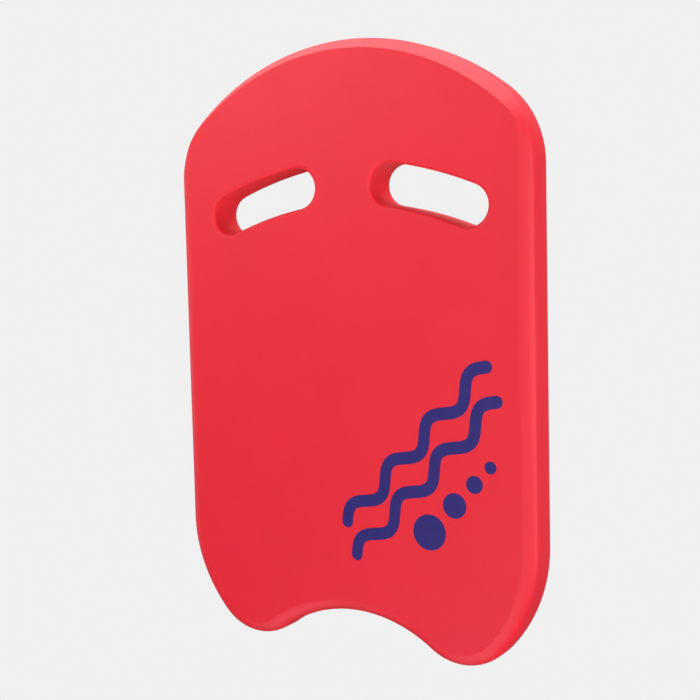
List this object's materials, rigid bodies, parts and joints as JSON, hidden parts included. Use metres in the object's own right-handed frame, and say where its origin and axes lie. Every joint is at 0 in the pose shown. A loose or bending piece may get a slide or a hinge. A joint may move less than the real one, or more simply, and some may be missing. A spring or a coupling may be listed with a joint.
{
  "type": "swimming kickboard",
  "caption": "Flat red foam swimming kickboard with a bevelled round nose, a finger slot on each side, a two-lobed tail and a blue ripple and bubble print.",
  "frame": {"origin": "middle of the board's bounding box, on the back face that it lies on", "axes": "+X across the board, +Y along the board to the nose, +Z through the thickness, out of the printed face"},
  "size_m": [0.296, 0.45, 0.0321],
  "materials": {
    "foam": "matt closed-cell EVA foam, fine skin, buffed edges",
    "ink": "satin screen-printed ink film"
  },
  "bodies": {
    "root": {"foam_board": "foam", "print_ripple_1": "ink", "print_ripple_2": "ink", "print_bubbles": "ink"}
  },
  "joints": []
}
